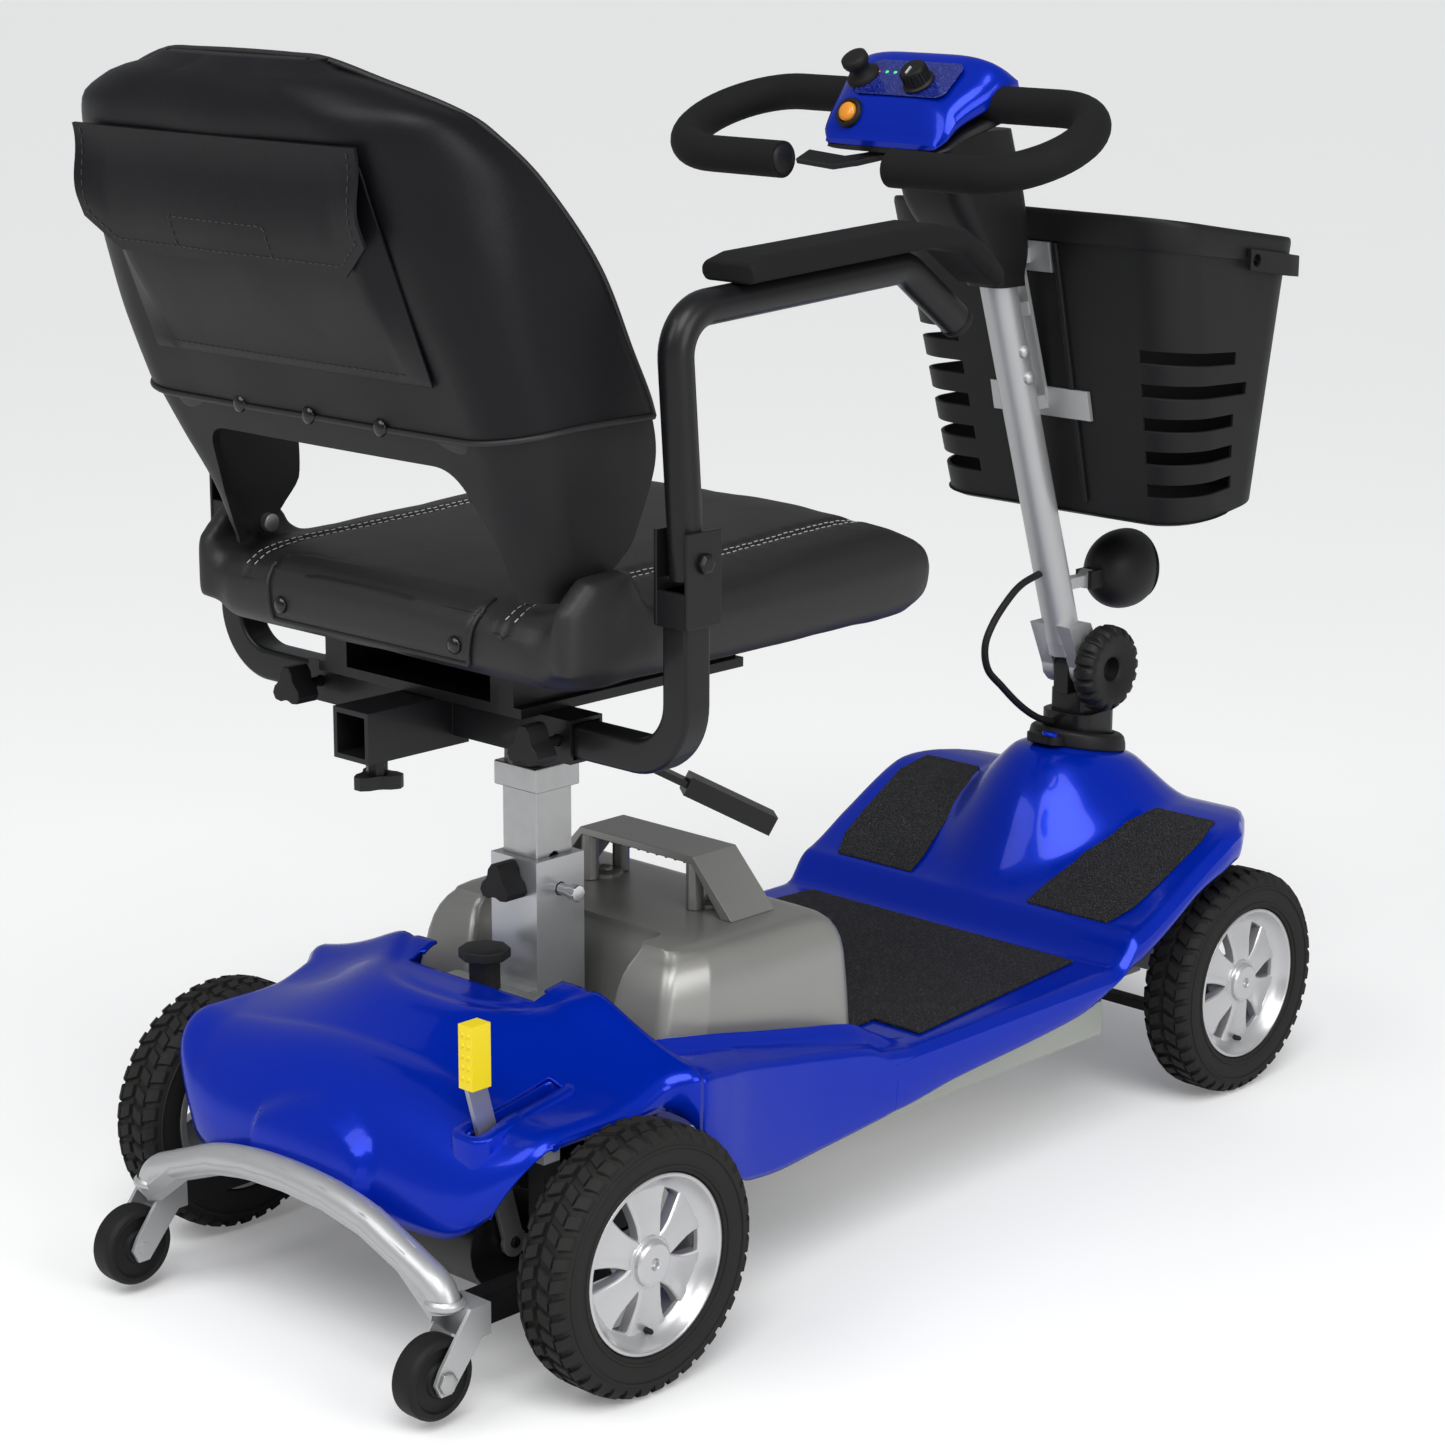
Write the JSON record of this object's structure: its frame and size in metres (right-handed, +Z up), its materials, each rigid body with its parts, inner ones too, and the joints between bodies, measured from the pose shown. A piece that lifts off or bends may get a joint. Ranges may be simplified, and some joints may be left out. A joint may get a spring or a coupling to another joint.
{
  "type": "mobility scooter",
  "caption": "Travel mobility scooter with swivel seat, flip-up armrests, lift-out battery, tilting tiller, basket and anti-tip wheels.",
  "frame": {"origin": "centre of the overall length and width, on the floor under the tyres", "axes": "+Z up, the scooter drives towards -Y, the rider's left is +X"},
  "size_m": [0.53, 1.091, 0.934],
  "materials": {
    "body_blue": "glossy blue",
    "silver_paint": "satin silver",
    "alloy": "silver painted casting",
    "satin_cover": "satin grey silver",
    "black_steel": "black powder coat",
    "frame_grey": "pale grey paint",
    "black_plastic": "grained black",
    "rubber": "black rubber",
    "tyre": "treaded solid tyre",
    "grit": "rough anti-slip sheet",
    "upholstery": "black grained vinyl",
    "foam": "closed foam",
    "chrome": "bright plated",
    "yellow": "yellow grip on a steel blade",
    "orange": "orange"
  },
  "bodies": {
    "chassis": {"front_frame": "frame_grey", "rear_frame": "black_steel", "transaxle": "black_steel", "anti_tip_bar": "silver_paint", "floor_shell": "body_blue", "tiller_bezel": "black_plastic", "mat_center": "grit", "mat_left": "grit", "mat_right": "grit", "rear_shroud": "body_blue"},
    "rear_wheel_left": {"tyre_rear_left": "tyre", "rim_rear_left": "alloy"},
    "rear_wheel_right": {"tyre_rear_right": "tyre", "rim_rear_right": "alloy"},
    "anti_tip_left": {"anti_tip_wheel_left": "rubber"},
    "anti_tip_right": {"anti_tip_wheel_right": "rubber"},
    "steering": {"steering_column": "black_steel", "tiller_cable": "rubber"},
    "knuckle_left": {"steering_knuckle_left": "black_steel"},
    "knuckle_right": {"steering_knuckle_right": "black_steel"},
    "link": {"track_rod": "black_steel"},
    "front_wheel_left": {"tyre_front_left": "tyre", "rim_front_left": "alloy"},
    "front_wheel_right": {"tyre_front_right": "tyre", "rim_front_right": "alloy"},
    "tiller": {"tiller_tube": "silver_paint", "console_base": "black_plastic", "console_top": "body_blue", "handlebar": "foam", "basket": "black_plastic"},
    "clamp_knob": {"tiller_clamp_knob": "black_plastic"},
    "lamp": {"headlight": "black_plastic"},
    "throttle": {"throttle_lever": "black_plastic"},
    "speed_dial": {"speed_knob": "black_plastic"},
    "key": {"ignition_key": "black_plastic"},
    "horn": {"horn_button": "orange"},
    "basket_band": {"basket_handle": "black_plastic"},
    "battery": {"battery_pack": "satin_cover", "battery_handle": "satin_cover"},
    "post": {"seat_post": "silver_paint"},
    "locking_pin": {"post_pin": "chrome"},
    "post_screw": {"post_knob": "black_plastic"},
    "plunger": {"release_plunger": "black_plastic"},
    "freewheel": {"freewheel_lever": "yellow"},
    "seat": {"seat_frame": "black_steel", "seat_cushion": "upholstery"},
    "swivel_lever": {"seat_lever": "black_steel"},
    "backrest": {"back_shell": "upholstery", "back_cushion": "upholstery", "back_pocket": "upholstery"},
    "arm_low_left": {"arm_lower_left": "black_steel"},
    "arm_low_right": {"arm_lower_right": "black_steel"},
    "arm_top_left": {"arm_upper_left": "black_steel", "arm_pad_left": "foam"},
    "arm_top_right": {"arm_upper_right": "black_steel", "arm_pad_right": "foam"},
    "arm_screw_left": {"arm_knob_left": "black_plastic"},
    "arm_screw_right": {"arm_knob_right": "black_plastic"}
  },
  "joints": [
    {"name": "rear_wheel_left_spin", "type": "hinge", "parent": "chassis", "child": "rear_wheel_left", "pos_m": [0.227, 0.371, 0.1], "axis": [1, 0, 0], "continuous": true},
    {"name": "anti_tip_left_spin", "type": "hinge", "parent": "chassis", "child": "anti_tip_left", "pos_m": [0.17, 0.515, 0.038], "axis": [1, 0, 0], "continuous": true},
    {"name": "rear_wheel_right_spin", "type": "hinge", "parent": "chassis", "child": "rear_wheel_right", "pos_m": [-0.227, 0.371, 0.1], "axis": [1, 0, 0], "continuous": true},
    {"name": "anti_tip_right_spin", "type": "hinge", "parent": "chassis", "child": "anti_tip_right", "pos_m": [-0.17, 0.515, 0.038], "axis": [1, 0, 0], "continuous": true},
    {"name": "steer", "type": "hinge", "parent": "chassis", "child": "steering", "pos_m": [0, -0.424, 0.2], "axis": [0, 0, 1], "range_deg": [-35, 35]},
    {"name": "knuckle_left_turn", "type": "hinge", "parent": "chassis", "child": "knuckle_left", "pos_m": [0.128, -0.437, 0.1], "axis": [0, 0, 1], "range_deg": [-35, 35]},
    {"name": "front_wheel_left_spin", "type": "hinge", "parent": "knuckle_left", "child": "front_wheel_left", "pos_m": [0.165, -0.437, 0.1], "axis": [1, 0, 0], "continuous": true},
    {"name": "knuckle_right_turn", "type": "hinge", "parent": "chassis", "child": "knuckle_right", "pos_m": [-0.128, -0.437, 0.1], "axis": [0, 0, 1], "range_deg": [-35, 35]},
    {"name": "front_wheel_right_spin", "type": "hinge", "parent": "knuckle_right", "child": "front_wheel_right", "pos_m": [-0.165, -0.437, 0.1], "axis": [1, 0, 0], "continuous": true},
    {"name": "track_rod_turn", "type": "hinge", "parent": "knuckle_left", "child": "link", "pos_m": [0.128, -0.387, 0.075], "axis": [0, 0, 1], "range_deg": [-35, 35]},
    {"name": "tiller_fold", "type": "hinge", "parent": "steering", "child": "tiller", "pos_m": [0, -0.417, 0.364], "axis": [1, 0, 0], "range_deg": [-14, 10], "deforming": ["tiller_cable"]},
    {"name": "clamp_knob_turn", "type": "hinge", "parent": "tiller", "child": "clamp_knob", "pos_m": [0, -0.417, 0.364], "axis": [1, 0, 0], "range_deg": [-180, 180]},
    {"name": "lamp_tilt", "type": "hinge", "parent": "tiller", "child": "lamp", "pos_m": [0, -0.431, 0.438], "axis": [1, 0, 0], "range_deg": [-20, 20]},
    {"name": "throttle_press", "type": "hinge", "parent": "tiller", "child": "throttle", "pos_m": [0, -0.16061, 0.8354], "axis": [0, 0.3746, 0.9272], "range_deg": [-8, 8], "stiffness_Nm_per_rad": 0.6},
    {"name": "speed_dial_turn", "type": "hinge", "parent": "tiller", "child": "speed_dial", "pos_m": [-0.02, -0.1641, 0.8858], "axis": [0, 0.6347, 0.7727], "range_deg": [-135, 135]},
    {"name": "key_pull", "type": "slide", "parent": "tiller", "child": "key", "axis": [0, 0.6347, 0.7727], "range_m": [0, 0.03]},
    {"name": "horn_press", "type": "slide", "parent": "tiller", "child": "horn", "axis": [0, 0.9285, 0.3714], "range_m": [-0.002, 0], "stiffness_N_per_m": 250},
    {"name": "basket_band_swing", "type": "hinge", "parent": "tiller", "child": "basket_band", "pos_m": [0, -0.435, 0.735], "axis": [1, 0, 0], "range_deg": [-90, 0]},
    {"name": "battery_lift", "type": "slide", "parent": "chassis", "child": "battery", "axis": [0, 0, 1], "range_m": [0, 0.06]},
    {"name": "seat_post_height", "type": "slide", "parent": "chassis", "child": "post", "axis": [0, 0, 1], "range_m": [0, 0.075]},
    {"name": "post_pin_pull", "type": "slide", "parent": "chassis", "child": "locking_pin", "axis": [-1, 0, 0], "range_m": [0, 0.03]},
    {"name": "post_screw_turn", "type": "hinge", "parent": "chassis", "child": "post_screw", "pos_m": [0, 0.28, 0.31], "axis": [0, 1, 0], "range_deg": [-180, 180]},
    {"name": "plunger_lift", "type": "slide", "parent": "chassis", "child": "plunger", "axis": [0, 0, 1], "range_m": [0, 0.012], "stiffness_N_per_m": 300},
    {"name": "freewheel_turn", "type": "hinge", "parent": "chassis", "child": "freewheel", "pos_m": [-0.144, 0.412, 0.1], "axis": [1, 0, 0], "range_deg": [0, 28]},
    {"name": "seat_swivel", "type": "hinge", "parent": "post", "child": "seat", "pos_m": [0, 0.248, 0.44], "axis": [0, 0, -1], "range_deg": [-90, 90]},
    {"name": "swivel_lever_lift", "type": "hinge", "parent": "seat", "child": "swivel_lever", "pos_m": [-0.103, 0.285, 0.44], "axis": [1, 0, 0], "range_deg": [-12, 0], "stiffness_Nm_per_rad": 3},
    {"name": "backrest_fold", "type": "hinge", "parent": "seat", "child": "backrest", "pos_m": [0, 0.362, 0.575], "axis": [1, 0, 0], "range_deg": [0, 45]},
    {"name": "arm_left_width", "type": "slide", "parent": "seat", "child": "arm_low_left", "axis": [1, 0, 0], "range_m": [0, 0.05]},
    {"name": "arm_left_raise", "type": "hinge", "parent": "arm_low_left", "child": "arm_top_left", "pos_m": [0.24, 0.333, 0.6], "axis": [1, 0, 0], "range_deg": [-90, 0]},
    {"name": "arm_screw_left_turn", "type": "hinge", "parent": "seat", "child": "arm_screw_left", "pos_m": [0.1286, 0.365, 0.457], "axis": [0, 1, 0], "range_deg": [-180, 180]},
    {"name": "arm_right_width", "type": "slide", "parent": "seat", "child": "arm_low_right", "axis": [-1, 0, 0], "range_m": [0, 0.05]},
    {"name": "arm_right_raise", "type": "hinge", "parent": "arm_low_right", "child": "arm_top_right", "pos_m": [-0.24, 0.333, 0.6], "axis": [1, 0, 0], "range_deg": [-90, 0]},
    {"name": "arm_screw_right_turn", "type": "hinge", "parent": "seat", "child": "arm_screw_right", "pos_m": [-0.1286, 0.365, 0.457], "axis": [0, 1, 0], "range_deg": [-180, 180]}
  ],
  "couplings": [
    {"joint": "knuckle_left_turn", "follows": "steer", "ratio": 1},
    {"joint": "knuckle_right_turn", "follows": "steer", "ratio": 1},
    {"joint": "track_rod_turn", "follows": "steer", "ratio": -1}
  ]
}
